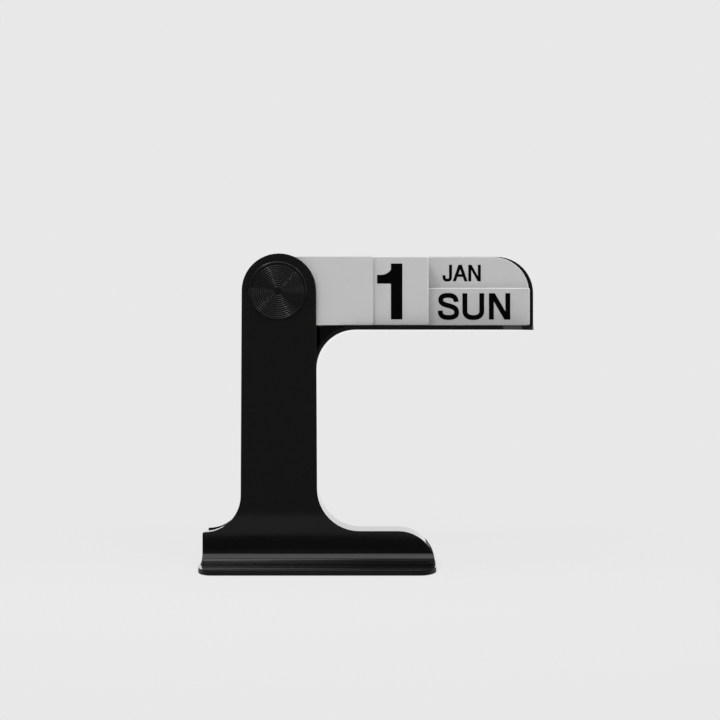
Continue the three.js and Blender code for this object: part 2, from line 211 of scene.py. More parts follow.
class LegendSettings(PropertyGroup):
    """Sizes of the printed figures and words, and their places from the pin"""

    digit_height: FloatProperty(name="Figure height", description="Height of a date figure",
                                default=28.6 * MM, unit="LENGTH")
    digit_base: FloatProperty(name="Figure base", description="Foot of a date figure, below the pin",
                              default=-14.55 * MM, unit="LENGTH")
    tens_right: FloatProperty(name="Tens right", description="Right edge of a tens figure",
                              default=46.3 * MM, unit="LENGTH")
    units_left: FloatProperty(name="Units left", description="Left edge of a units figure",
                              default=50.4 * MM, unit="LENGTH")
    weekday_height: FloatProperty(name="Weekday height", description="Height of the weekday's capitals",
                                  default=13.6 * MM, unit="LENGTH")
    weekday_base: FloatProperty(name="Weekday base", description="Foot of the weekday's capitals",
                                default=-14.5 * MM, unit="LENGTH")
    weekday_left: FloatProperty(name="Weekday left", description="Left edge of the weekday",
                                default=81.6 * MM, unit="LENGTH")
    month_height: FloatProperty(name="Month height", description="Height of the month's capitals",
                                default=8.6 * MM, unit="LENGTH")
    month_base: FloatProperty(name="Month base", description="Foot of the month's capitals",
                              default=5.42 * MM, unit="LENGTH")
    month_left: FloatProperty(name="Month left", description="Left edge of the month",
                              default=84.2 * MM, unit="LENGTH")


class StageSettings(PropertyGroup):
    """The camera, the floor and the light"""

    camera_x: FloatProperty(name="Camera right", description="Camera to the right of the pin",
                            default=60.1 * MM, unit="LENGTH")
    camera_distance: FloatProperty(name="Camera distance", description="Camera to the front plate",
                                   default=937 * MM, unit="LENGTH")
    camera_height: FloatProperty(name="Camera height", description="Camera above the table",
                                 default=106.1 * MM, unit="LENGTH")
    lens: FloatProperty(name="Lens", description="Focal length in millimetres", default=92.1)
    shift: FloatProperty(name="Shift", description="Sideways shift of the picture", default=-0.05)
    background: FloatProperty(name="Background", description="Level of the pale background",
                              default=0.807)
    floor_radius: FloatProperty(name="Floor radius", description="Radius of the pale floor",
                                default=0.55, unit="LENGTH")


class CalendarSettings(PropertyGroup):
    """All that a user would change"""

    stand: PointerProperty(type=StandSettings)
    pin: PointerProperty(type=PinSettings)
    card: PointerProperty(type=CardSettings)
    legend: PointerProperty(type=LegendSettings)
    stage: PointerProperty(type=StageSettings)


def settings():
    return bpy.context.scene.calendar


# Materials

def new_material(name, color, roughness):
    material = bpy.data.materials.new(name)
    material.use_nodes = True
    nodes = material.node_tree.nodes
    shader = nodes["Principled BSDF"]
    shader.inputs["Base Color"].default_value = (*color, 1)
    shader.inputs["Roughness"].default_value = roughness
    return material, nodes, material.node_tree.links, shader


def add_noise(nodes, links, scale, detail=3.0):
    place = nodes.new("ShaderNodeTexCoord")
    noise = nodes.new("ShaderNodeTexNoise")
    noise.inputs["Scale"].default_value = scale
    noise.inputs["Detail"].default_value = detail
    links.new(place.outputs["Object"], noise.inputs["Vector"])
    return noise


def add_range(nodes, from_min, from_max, to_min, to_max, kind="LINEAR"):
    spread = nodes.new("ShaderNodeMapRange")
    spread.interpolation_type = kind
    spread.inputs["From Min"].default_value = from_min
    spread.inputs["From Max"].default_value = from_max
    spread.inputs["To Min"].default_value = to_min
    spread.inputs["To Max"].default_value = to_max
    return spread


def vary(nodes, links, noise, socket, low, high):
    """Lets noise move a value between two ends."""
    spread = add_range(nodes, 0.3, 0.7, low, high)
    links.new(noise.outputs["Fac"], spread.inputs["Value"])
    links.new(spread.outputs["Result"], socket)


def add_bump(nodes, links, noise, shader, distance, strength):
    bump = nodes.new("ShaderNodeBump")
    bump.inputs["Distance"].default_value = distance
    bump.inputs["Strength"].default_value = strength
    links.new(noise.outputs["Fac"], bump.inputs["Height"])
    links.new(bump.outputs["Normal"], shader.inputs["Normal"])


def moulded_black():
    stand = settings().stand
    found = bpy.data.materials.get("moulded_black")
    if found:
        return found
    material, nodes, links, shader = new_material("moulded_black", stand.black, stand.roughness)
    flow = add_noise(nodes, links, 38)
    vary(nodes, links, flow, shader.inputs["Roughness"], stand.roughness - 0.015, stand.roughness + 0.015)
    grain = add_noise(nodes, links, 2600, 2)
    add_bump(nodes, links, grain, shader, 0.002 * MM, 0.3)
    return material


def matte_black():
    found = bpy.data.materials.get("matte_black")
    if found:
        return found
    material, nodes, links, shader = new_material("matte_black", settings().stand.black, 0.5)
    grain = add_noise(nodes, links, 2200, 2)
    vary(nodes, links, grain, shader.inputs["Roughness"], 0.45, 0.55)
    add_bump(nodes, links, grain, shader, 0.02 * MM, 0.5)
    return material


def turned_black():
    found = bpy.data.materials.get("turned_black")
    if found:
        return found
    material, nodes, links, shader = new_material("turned_black", settings().stand.black, 0.1)
    flow = add_noise(nodes, links, 60)
    vary(nodes, links, flow, shader.inputs["Roughness"], 0.08, 0.12)
    shader.inputs["Specular IOR Level"].default_value = 0.34
    return material


def card_white():
    return sheet_material("card_white", settings().card.white)


def weekday_painted_shade():
    return sheet_material("weekday_painted_shade", settings().card.weekday_painted_shade)


def sheet_material(name, white):
    found = bpy.data.materials.get(name)
    if found:
        return found
    material, nodes, links, shader = new_material(name, white, 0.42)
    shader.inputs["Specular IOR Level"].default_value = 0.4
    shader.inputs["Subsurface Weight"].default_value = 0.35
    shader.inputs["Subsurface Radius"].default_value = (1, 1, 1)
    shader.inputs["Subsurface Scale"].default_value = 0.8 * MM
    cloud = add_noise(nodes, links, 22)
    tint = nodes.new("ShaderNodeMixRGB")
    tint.inputs["Color1"].default_value = (*[c * 0.985 for c in white], 1)
    tint.inputs["Color2"].default_value = (*white, 1)
    links.new(cloud.outputs["Fac"], tint.inputs["Fac"])
    # Where the normal turns away from the front, on the rounded and cut edges, the sheet takes the whiter
    # colour: a painted highlight along the cards' edges
    place = nodes.new("ShaderNodeTexCoord")
    facing = nodes.new("ShaderNodeSeparateXYZ")
    level = nodes.new("ShaderNodeMath")
    level.operation = "ABSOLUTE"
    cut = add_range(nodes, 0.85, 0.985, 1, 0)
    sheet = nodes.new("ShaderNodeMixRGB")
    sheet.inputs["Color2"].default_value = (*settings().card.core, 1)
    links.new(place.outputs["Normal"], facing.inputs["Vector"])
    links.new(facing.outputs["Y"], level.inputs[0])
    links.new(level.outputs["Value"], cut.inputs["Value"])
    links.new(cut.outputs["Result"], sheet.inputs["Fac"])
    links.new(tint.outputs["Color"], sheet.inputs["Color1"])
    links.new(sheet.outputs["Color"], shader.inputs["Base Color"])
    tooth = add_noise(nodes, links, 1800, 2)
    vary(nodes, links, tooth, shader.inputs["Roughness"], 0.39, 0.46)
    add_bump(nodes, links, tooth, shader, 0.005 * MM, 0.3)
    return material


def printed_ink():
    found = bpy.data.materials.get("printed_ink")
    if found:
        return found
    material, nodes, links, shader = new_material("printed_ink", settings().card.ink, 0.5)
    shader.inputs["Specular IOR Level"].default_value = 0.02
    tooth = add_noise(nodes, links, 1800, 2)
    vary(nodes, links, tooth, shader.inputs["Roughness"], 0.47, 0.56)
    return material


def plated_steel():
    found = bpy.data.materials.get("plated_steel")
    if found:
        return found
    material, nodes, links, shader = new_material("plated_steel", (0.5, 0.5, 0.52), 0.3)
    shader.inputs["Metallic"].default_value = 1
    wear = add_noise(nodes, links, 900)
    vary(nodes, links, wear, shader.inputs["Roughness"], 0.25, 0.4)
    return material


# Modelling

def deselect_all():
    if bpy.context.object and bpy.context.object.mode != "OBJECT":
        bpy.ops.object.mode_set(mode="OBJECT")
    bpy.ops.object.select_all(action="DESELECT")


def make_active(obj):
    deselect_all()
    obj.select_set(True)
    bpy.context.view_layer.objects.active = obj


def copy_of_node(node, name):
    """A merged copy of a CAD node as a piece of its own."""
    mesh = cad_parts[node].data.copy()
    mesh.name = name
    mesh.materials.clear()
    obj = bpy.data.objects.new(name, mesh)
    bpy.context.scene.collection.objects.link(obj)
    make_active(obj)
    bpy.ops.object.mode_set(mode="EDIT")
    bpy.ops.mesh.select_mode(type="EDGE")
    bpy.ops.mesh.select_all(action="SELECT")
    bpy.ops.mesh.remove_doubles(threshold=0.0002 * MM)
    bpy.ops.mesh.dissolve_limited(angle_limit=math.radians(0.5))
    bpy.ops.mesh.select_all(action="DESELECT")
    bpy.ops.object.mode_set(mode="OBJECT")
    return obj


def round_edges(obj, radius, segments, chosen):
    """Rounds the sharp edges of a piece that the test chosen(a, b) accepts."""
    make_active(obj)
    bpy.ops.object.mode_set(mode="EDIT")
    bpy.ops.mesh.select_mode(type="EDGE")
    bpy.ops.mesh.select_all(action="DESELECT")
    mesh = bmesh.from_edit_mesh(obj.data)
    for edge in mesh.edges:
        if len(edge.link_faces) == 2 and edge.calc_face_angle() > EDGE_ANGLE:
            a, b = (v.co for v in edge.verts)
            edge.select_set(chosen(a, b))
    bmesh.update_edit_mesh(obj.data)
    bpy.ops.mesh.bevel(offset=radius, segments=segments, profile=0.5, affect="EDGES", clamp_overlap=True)
    bpy.ops.mesh.select_all(action="DESELECT")
    bpy.ops.object.mode_set(mode="OBJECT")


def finish_piece(obj, material, body, slot, *nodes):
    """Gives a piece its material and shading, parents it to the body it rides on and hides the CAD nodes
    it stands for.
    """
    obj.data.materials.clear()
    obj.data.materials.append(material)
    make_active(obj)
    bpy.ops.object.shade_smooth_by_angle(angle=SMOOTH_ANGLE)
    even = obj.modifiers.new("even_normals", "WEIGHTED_NORMAL")
    even.keep_sharp = True
    even.weight = 100
    bpy.ops.object.modifier_apply(modifier=even.name)
    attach(obj, body)
    if nodes:
        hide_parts(*nodes)
    deselect_all()


class CALENDAR_OT_shells(Operator):
    """Round the edges of the two moulded shells"""

    bl_idname = "calendar.shells"
    bl_label = "Stand shells"

    def execute(self, context):
        stand = settings().stand

        def in_plane(v, y):
            return abs(v.y - y) < 2 * NEAR

        def hidden(v):
            return abs(v.y) < abs(SEAM_Y) - 2 * NEAR and v.z < SLOT_FLOOR

        def face(a, b):
            return in_plane(a, FACE_Y) and in_plane(b, FACE_Y) and min(a.z, b.z) > SWEEP_TOP

        def rest(a, b):
            seam = in_plane(a, SEAM_Y) and in_plane(b, SEAM_Y)
            return not seam and not hidden(a) and not hidden(b)

        for node in ("front_shell", "rear_shell"):
            shell = copy_of_node(node, node + "_moulding")
            if node == "front_shell":
                round_edges(shell, stand.face_edge, 4, face)
            round_edges(shell, stand.edge, 3, rest)
            finish_piece(shell, moulded_black(), "stand", "black_abs", node)
        return {"FINISHED"}


class CALENDAR_OT_cover(Operator):
    """Finish the base's cover and its four cross-recessed screws"""

    bl_idname = "calendar.cover"
    bl_label = "Base cover"

    def execute(self, context):
        for node in ["base_cover", "pivot_sleeve"]:
            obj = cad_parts[node]
            obj.data.materials.clear()
            obj.data.materials.append(matte_black())
        for i in range(1, 5):
            node = "base_screw_%d" % i
            screw = copy_of_node(node, node + "_cross")
            low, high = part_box(node)
            cut_cross(screw, (low + high) / 2, low.z)
            finish_piece(screw, plated_steel(), "stand", "screw_steel", node)
        return {"FINISHED"}


def cut_cross(screw, middle, foot):
    """Cuts a cross recess into the head of a screw that points down."""
    arm = 1.5 * MM
    width = 0.4 * MM
    depth = 0.6 * MM
    for size in ((arm, width), (width, arm)):
        deselect_all()
        bpy.ops.mesh.primitive_cube_add(size=2, location=(middle.x, middle.y, foot))
        cutter = bpy.context.object
        cutter.scale = (size[0], size[1], depth)
        bpy.ops.object.transform_apply(location=True, rotation=False, scale=True)
        make_active(screw)
        cut = screw.modifiers.new("cross", "BOOLEAN")
        cut.operation = "DIFFERENCE"
        cut.solver = "EXACT"
        cut.object = cutter
        bpy.ops.object.modifier_apply(modifier=cut.name)
        bpy.data.objects.remove(cutter)


class CALENDAR_OT_discs(Operator):
    """Turn the two grooved discs that close the pin"""

    bl_idname = "calendar.discs"
    bl_label = "Pin discs"

    def execute(self, context):
        front = turned_disc("front_disc_turned")
        finish_piece(front, turned_black(), "stand", "disc_abs", "front_disc")
        rear = turned_disc("rear_disc_turned")
        rear.data.transform(Matrix.Rotation(math.pi, 4, "Z"))
        finish_piece(rear, turned_black(), "stand", "disc_abs", "rear_disc")
        return {"FINISHED"}


def groove_steps():
    """(width, rise) of each inset, from the disc's edge inwards, that turns its lip and its grooves."""
    pin = settings().pin
    lip = 0.16 * MM
    crest = 0.3 * MM
    steepest = math.radians(38)

    def rounding(radius, angle, count):
        turns = [angle * i / count for i in range(count + 1)]
        return [(radius * (math.sin(b) - math.sin(a)), radius * (math.cos(b) - math.cos(a)))
                for a, b in zip(turns, turns[1:])]

    steps = [(pin.rim - lip, 0)] + rounding(lip, math.pi / 2, 4) + [(pin.plain, 0)]
    pitch = (DISC_RADIUS - pin.rim - pin.plain - pin.middle) / pin.grooves
    wall = pin.depth - crest * (1 - math.cos(steepest))
    fall = rounding(crest, steepest, 5) + [(wall / math.tan(steepest), -wall)]
    land = pitch - 2 * sum(width for width, _ in fall)
    for _ in range(pin.grooves):
        steps += fall
        steps += [(width, -rise) for width, rise in reversed(fall)]
        steps.append((land, 0))
    return steps


def select_end(obj, y, facing):
    """Selects the flat end of a turned piece that faces along Y at the given place."""
    bpy.ops.mesh.select_mode(type="FACE")
    bpy.ops.mesh.select_all(action="DESELECT")
    mesh = bmesh.from_edit_mesh(obj.data)
    for face in mesh.faces:
        middle = face.calc_center_median()
        face.select_set(abs(middle.y - y) < NEAR and face.normal.y * facing > 0.9)
    bmesh.update_edit_mesh(obj.data)


def turned_disc(name):
    """A disc with turned grooves in its face and a stem that enters the sleeve."""
    pin = settings().pin
    stem = SLEEVE_HIGH.x - STEM_INSET
    deselect_all()
    bpy.ops.mesh.primitive_cylinder_add(vertices=pin.sides, radius=DISC_RADIUS,
                                        depth=FACE_Y - DISC_FACE_Y,
                                        location=(PIN.x, (FACE_Y + DISC_FACE_Y) / 2, PIN.z),
                                        rotation=(math.pi / 2, 0, 0))
    disc = bpy.context.object
    disc.name = name
    bpy.ops.object.transform_apply(location=True, rotation=True, scale=False)
    bpy.ops.object.mode_set(mode="EDIT")
    select_end(disc, FACE_Y, 1)
    bpy.ops.mesh.inset(thickness=DISC_RADIUS - stem, depth=0)
    bpy.ops.mesh.inset(thickness=0, depth=STEM_END_Y - FACE_Y)
    select_end(disc, DISC_FACE_Y, -1)
    for width, rise in groove_steps():
        bpy.ops.mesh.inset(thickness=width, depth=rise)
    bpy.ops.mesh.select_all(action="DESELECT")
    bpy.ops.object.mode_set(mode="OBJECT")
    outside = DISC_RADIUS * math.cos(math.pi / pin.sides) - NEAR

    def outer_rim(a, b):
        return math.hypot(a.x - PIN.x, a.z - PIN.z) > outside and max(a.y, b.y) < DISC_FACE_Y + NEAR

    round_edges(disc, settings().stand.edge, 4, outer_rim)
    return disc


class CALENDAR_OT_cards(Operator):
    """Round the cut edges of the thirty-three cards"""

    bl_idname = "calendar.cards"
    bl_label = "Cards"

    def execute(self, context):
        edge = settings().card.edge
        groups = (("tens_card", TENS), ("units_card", UNITS),
                  ("weekday_card", WEEKDAYS), ("month_card", MONTHS))
        for group, marks in groups:
            for mark in marks:
                node = group + "_" + mark
                card = copy_of_node(node, node + "_sheet")
                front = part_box(node)[0].y + edge / 4

                def on_face(a, b):
                    return max(a.y, b.y) < front

                def on_back(a, b):
                    return min(a.y, b.y) > front and abs(a.y - b.y) < edge / 4

                round_edges(card, settings().card.face_edge, 3, on_face)
                round_edges(card, edge, 2, on_back)
                # The weekday cards take the darker sheet, which is painted shade
                sheet = weekday_painted_shade() if group == "weekday_card" else card_white()
                finish_piece(card, sheet, node, "card_pvc", node)
        return {"FINISHED"}


# Glyphs: capitals and figures of even strokes, drawn to a height of one

def bowl(cx, cy, rx, ry, start, end, steps=20, square=2.35):
    """Points along a slightly squared ellipse, from one angle in degrees to another."""
    points = []
    for i in range(steps + 1):
        angle = math.radians(start + (end - start) * i / steps)
        c, s = math.cos(angle), math.sin(angle)
        x = math.copysign(abs(c) ** (2 / square), c)
        y = math.copysign(abs(s) ** (2 / square), s)
        points.append((cx + rx * x, cy + ry * y))
    return points


def ribbon(points, width, closed=False):
    """A band of even width along a line of points, as one or more outlines."""
    count = len(points)
    left, right = [], []
    for i, (x, y) in enumerate(points):
        before = points[i - 1] if i or closed else points[i]
        after = points[(i + 1) % count] if i < count - 1 or closed else points[i]
        dx, dy = after[0] - before[0], after[1] - before[1]
        length = math.hypot(dx, dy)
        nx, ny = -dy / length * width / 2, dx / length * width / 2
        left.append((x + nx, y + ny))
        right.append((x - nx, y - ny))
    if not closed:
        return [left + right[::-1]]
    half = count // 2
    first = left[:half + 1] + right[:half + 1][::-1]
    second = left[half:] + left[:1] + right[:1] + right[half:][::-1]
    return [first, second]


def bar(x0, y0, x1, y1):
    return [(x0, y0), (x1, y0), (x1, y1), (x0, y1)]


def slant(low_x, high_x, width, y0=0.0, y1=1.0):
    """A leaning stroke cut level at both ends; the places are of its left edge."""
    return [(low_x, y0), (low_x + width, y0), (high_x + width, y1), (high_x, y1)]


def sweep(start, *curves):
    """Points along joined cubic curves; each curve is given by its two handles and its end."""
    steps = 9
    points = [start]
    for one, two, end in curves:
        for i in range(1, steps + 1):
            t = i / steps
            u = 1 - t
            points.append(tuple(u ** 3 * p + 3 * u * u * t * q + 3 * u * t * t * r + t ** 3 * s
                                for p, q, r, s in zip(start, one, two, end)))
        start = end
    return points


def s_line(wide, w):
    """The centre line of an S with level ends."""
    r = w / 2
    top, low = 1.012 - r, r - 0.012
    right, left, middle = wide - r, r, wide / 2
    return sweep((right - 0.02, 0.67),
                 ((right - 0.02, 0.82), (middle + 0.2, top), (middle + 0.005, top)),
                 ((middle - 0.2, top), (left + 0.02, 0.87), (left + 0.02, 0.745)),
                 ((left + 0.02, 0.61), (middle - 0.17, 0.575), (middle, 0.53)),
                 ((middle + 0.19, 0.48), (right, 0.43), (right, 0.275)),
                 ((right, 0.135), (middle + 0.2, low), (middle, low)),
                 ((middle - 0.22, low), (left, 0.15), (left, 0.345)))


def letter_shapes(letter, w):
    """(outlines, width) of a glyph whose main strokes are w wide."""
    r = w / 2
    if letter == "A":
        wide = 0.9
        lean = w * 1.08
        return [slant(0, wide / 2 - lean / 2, lean), slant(wide - lean, wide / 2 - lean / 2, lean),
                bar(0.18, 0.27, wide - 0.18, 0.27 + w * 0.9)], wide
    if letter == "B":
        wide = 0.70
        top = [(r, 1 - r), (0.36, 1 - r)]
        top += bowl(0.36, 0.75, 0.27 - r, 0.25 - r, 90, -90) + [(r, 0.5 + r)]
        low = [(r, 0.5 + r), (0.38, 0.5 + r)]
        low += bowl(0.38, 0.25 + r / 2, wide - 0.38 - r, 0.25 - r / 2, 90, -90) + [(r, r)]
        return [bar(0, 0, w, 1)] + ribbon(top, w) + ribbon(low, w), wide
    if letter == "C":
        wide = 0.84
        return ribbon(bowl(wide / 2, 0.5, wide / 2 - r, 0.515 - r, 28, 332, 36), w), wide
    if letter == "D":
        wide = 0.79
        line = [(r, 1 - r), (0.34, 1 - r)]
        line += bowl(0.34, 0.5, wide - 0.34 - r, 0.5 - r, 90, -90, 28) + [(r, r)]
        return [bar(0, 0, w, 1)] + ribbon(line, w), wide
    if letter == "E":
        wide = 0.66
        return [bar(0, 0, w, 1), bar(0, 0, wide, w), bar(0, 1 - w, wide, 1),
                bar(0, 0.5 - r + 0.02, wide - 0.05, 0.5 + r + 0.02)], wide
    if letter == "F":
        wide = 0.61
        return [bar(0, 0, w, 1), bar(0, 1 - w, wide, 1), bar(0, 0.47 - r, wide - 0.06, 0.47 + r)], wide
    if letter == "G":
        wide = 0.86
        shapes = ribbon(bowl(wide / 2, 0.5, wide / 2 - r, 0.515 - r, 28, 330, 36), w)
        shapes += [bar(wide - w * 0.85, 0, wide, 0.5), bar(wide * 0.52, 0.5 - w * 0.9, wide, 0.5)]
        return shapes, wide
    if letter == "H":
        wide = 0.78
        return [bar(0, 0, w, 1), bar(wide - w, 0, wide, 1), bar(0, 0.5 - r, wide, 0.5 + r)], wide
    if letter == "I":
        return [bar(0, 0, w, 1)], w
    if letter == "J":
        wide = 0.57
        hook = [(wide - r, 1), (wide - r, 0.30)]
        hook += bowl(wide / 2, 0.30, wide / 2 - r, 0.315 - r, 0, -178, 24, 2.8)
        return ribbon(hook + [(r, 0.37)], w), wide
    if letter == "L":
        wide = 0.60
        return [bar(0, 0, w, 1), bar(0, 0, wide, w)], wide
    if letter == "M":
        wide = 0.95
        lean = w * 1.08
        return [bar(0, 0, w, 1), bar(wide - w, 0, wide, 1), slant(wide / 2 - lean / 2, 0, lean),
                slant(wide / 2 - lean / 2, wide - lean, lean)], wide
    if letter == "N":
        wide, lean = (0.757, w * 1.05) if w <= MONTH_STROKE else (0.81, w * 1.2)
        return [bar(0, 0, w, 1), bar(wide - w, 0, wide, 1), slant(wide - lean, 0, lean)], wide
    if letter == "O":
        wide = 0.86
        return ribbon(bowl(wide / 2, 0.5, wide / 2 - r, 0.515 - r, 0, 350, 35, 2.15), w, True), wide
    if letter in ("P", "R"):
        wide = 0.70
        cx = 0.37
        line = [(r, 1 - r), (cx, 1 - r)]
        line += bowl(cx, 0.73, wide - cx - r, 0.27 - r, 90, -90) + [(r, 0.46 + r)]
        shapes = [bar(0, 0, w, 1)] + ribbon(line, w)
        if letter == "R":
            shapes.append([(wide - w, 0), (wide + 0.03, 0), (wide - 0.02, 0.30), (0.44, 0.52),
                           (0.40, 0.46), (wide - w - 0.03, 0.30)])
            wide += 0.03
        return shapes, wide
    if letter == "S":
        wide = 0.81
        return ribbon(s_line(wide, w), w), wide
    if letter == "T":
        wide = 0.72
        return [bar(0, 1 - w, wide, 1), bar(wide / 2 - r, 0, wide / 2 + r, 1)], wide
    if letter == "U":
        wide = 0.825
        line = [(r, 1), (r, 0.33)] + bowl(wide / 2, 0.33, wide / 2 - r, 0.345 - r, 180, 360, 28)
        return ribbon(line + [(wide - r, 1)], w), wide
    if letter == "V":
        wide = 0.82
        lean = w * 1.08
        return [slant(wide / 2 - lean / 2, 0, lean), slant(wide / 2 - lean / 2, wide - lean, lean)], wide
    if letter == "W":
        wide = 1.20
        lean = w * 1.08
        left, right = wide * 0.27, wide * 0.73
        peak = wide / 2 - lean / 2
        return [slant(left - lean / 2, 0, lean), slant(left - lean / 2, peak, lean),
                slant(right - lean / 2, peak, lean), slant(right - lean / 2, wide - lean, lean)], wide
    if letter == "Y":
        wide = 0.82
        lean = w * 1.15
        return [bar(wide / 2 - r, 0, wide / 2 + r, 0.45), slant(wide / 2 - lean / 2, 0, lean, 0.40),
                slant(wide / 2 - lean / 2, wide - lean, lean, 0.40)], wide
    raise ValueError("no letter " + letter)


def figure_shapes(figure, w):
    """(outlines, width) of a narrow, bold figure."""
    r = w / 2
    wide = 0.56
    cx = wide / 2
    rx = cx - r
    if figure == "1":
        wide = 0.4538
        stem = wide - w
        curve = bowl(0.0725, 1.016, 0.2175, 0.217, -90, -4.5, 10, 2)
        flag = [(0, 0.64), (stem + r, 0.64), (stem + r, 1)] + curve[::-1] + [(0, 0.797)]
        return [bar(stem, 0, wide, 1), flag], wide
    if figure == "0":
        return ribbon(bowl(cx, 0.5, rx, 0.51 - r, 0, 350, 35, 2.9), w, True), wide
    if figure == "2":
        line = bowl(cx, 0.71, rx, 0.30 - r, 176, -30, 22, 2.5)
        line += [(cx + rx * 0.55, 0.46), (cx - rx * 0.25, 0.30), (r + 0.01, 0.15), (r, 0.02)]
        return ribbon(line, w) + [bar(0, 0, wide, w * 0.86)], wide
    if figure == "3":
        top = bowl(cx, 0.745, rx * 0.95, 0.265 - r, 172, -90, 22, 2.5) + [(cx - 0.07, 0.745 - 0.265 + r)]
        low = [(cx - 0.07, 0.565 - r)] + bowl(cx, 0.2775, rx, 0.2875 - r, 90, -172, 22, 2.5)
        return ribbon(top, w * 0.98) + ribbon(low, w * 0.98), wide
    if figure == "4":
        wide = 0.60
        stem = wide - w - 0.07
        level = 0.20 + w * 0.5
        arm = [(0, level), (w * 0.95, level), (stem + w * 0.4, 0.86), (stem + w * 0.4, 1),
               (stem - 0.02, 1), (0, 0.34)]
        return [bar(stem, 0, stem + w, 1), bar(0, 0.20, wide, 0.20 + w * 0.85), arm], wide
    if figure == "5":
        low = bowl(cx, 0.32, rx, 0.33 - r, 138, -172, 26, 2.5)
        neck = [(0.02, 0.46), (w * 0.93, 0.46), (w + 0.045, 1), (0.06, 1)]
        return [bar(0.06, 1 - w * 0.86, wide - 0.03, 1), neck] + ribbon(low, w), wide
    if figure in ("6", "9"):
        ring = ribbon(bowl(cx, 0.32, rx, 0.33 - r, 0, 350, 35, 2.5), w, True)
        line = bowl(cx, 0.70, rx, 0.31 - r, 12, 180, 18, 2.6) + [(r, 0.32)]
        shapes = ring + ribbon(line, w)
        if figure == "9":
            shapes = [[(wide - x, 1 - y) for x, y in shape] for shape in shapes]
        return shapes, wide
    if figure == "7":
        line = [(wide - r * 1.2, 0.90), (cx + 0.07, 0.60), (cx - 0.05, 0.32), (cx - 0.08, 0.0)]
        return [bar(0, 1 - w * 0.86, wide, 1)] + ribbon(line, w), wide
    if figure == "8":
        top = ribbon(bowl(cx, 0.76, rx * 0.92, 0.25 - r, 0, 350, 35, 2.4), w * 0.95, True)
        low = ribbon(bowl(cx, 0.285, rx, 0.295 - r, 0, 350, 35, 2.5), w, True)
        return top + low, wide
    raise ValueError("no figure " + figure)


def stroke_slab(name, outline, thickness):
    """A flat curve along one outline, filled, given a thickness and made a mesh."""
    curve = bpy.data.curves.new(name, "CURVE")
    curve.dimensions = "2D"
    curve.fill_mode = "BOTH"
    curve.extrude = thickness / 2
    line = curve.splines.new("POLY")
    line.points.add(len(outline) - 1)
    for point, (x, y) in zip(line.points, outline):
        point.co = (x, y, 0, 1)
    line.use_cyclic_u = True
    obj = bpy.data.objects.new(name, curve)
    bpy.context.scene.collection.objects.link(obj)
    make_active(obj)
    bpy.ops.object.convert(target="MESH")
    return bpy.context.object


def print_on_card(node, name, outlines):
    """Prints outlines, given in metres from the pin, on the front of a card."""
    gap = 0.002 * MM
    weld = 0.001 * MM
    thickness = settings().card.ink_height - gap
    slabs = [stroke_slab(name, outline, thickness) for outline in outlines]
    deselect_all()
    for slab in slabs:
        slab.select_set(True)
    bpy.context.view_layer.objects.active = slabs[0]
    if len(slabs) > 1:
        bpy.ops.object.join()
    ink = bpy.context.view_layer.objects.active
    ink.name = name
    bpy.ops.object.mode_set(mode="EDIT")
    bpy.ops.mesh.select_all(action="SELECT")
    bpy.ops.mesh.remove_doubles(threshold=weld)
    bpy.ops.mesh.normals_make_consistent(inside=False)
    if len(slabs) > 1:
        bpy.ops.mesh.intersect_boolean(operation="UNION", use_self=True, solver="EXACT")
        bpy.ops.mesh.select_all(action="SELECT")
        bpy.ops.mesh.remove_doubles(threshold=weld)
    bpy.ops.mesh.select_all(action="DESELECT")
    bpy.ops.object.mode_set(mode="OBJECT")
    ink.location = (PIN.x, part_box(node)[0].y - gap - thickness / 2, PIN.z)
    ink.rotation_euler = (math.pi / 2, 0, 0)
    bpy.ops.object.transform_apply(location=True, rotation=True, scale=False)
    finish_piece(ink, printed_ink(), node, "cover_abs")


# Stroke widths, in the height of the glyphs; the narrowest has its own N
FIGURE_STROKE = 0.206
WEEKDAY_STROKE = 0.186
MONTH_STROKE = 0.18

# Clear space to the left and right of a glyph, and the least between two, in their height
UPRIGHT_BEARING = (0.089, 0.089)
LEAST_GAP = 0.02
BEARINGS = {"A": (0, 0), "C": (0.04, 0.03), "G": (0.04, 0.07), "J": (0.02, 0.09), "L": (0.09, 0),
            "O": (0.04, 0.04), "S": (0.036, 0.036), "T": (0, 0), "V": (0, 0), "W": (0, 0), "Y": (0, 0),
            "F": (0.09, 0.01), "P": (0.09, 0.02), "E": (0.09, 0.04), "B": (0.09, 0.05),
            "D": (0.09, 0.05), "R": (0.09, 0.03)}


def set_line(text, shapes_of, stroke, height, left=None, right=None, base=0.0, tight=0.0):
    """Sets a word or figure on one line, from its left edge or up to its right edge."""
    outlines = []
    at = 0.0
    after = None
    for character in text:
        bearing = BEARINGS.get(character, UPRIGHT_BEARING)
        if after is not None:
            at += max(after + bearing[0] - tight, LEAST_GAP)
        shapes, wide = shapes_of(character, stroke)
        for shape in shapes:
            outlines.append([(x + at, y) for x, y in shape])
        at += wide
        after = bearing[1]
    start = left if left is not None else right - at * height
    return [[(start + x * height, base + y * height) for x, y in shape] for shape in outlines]


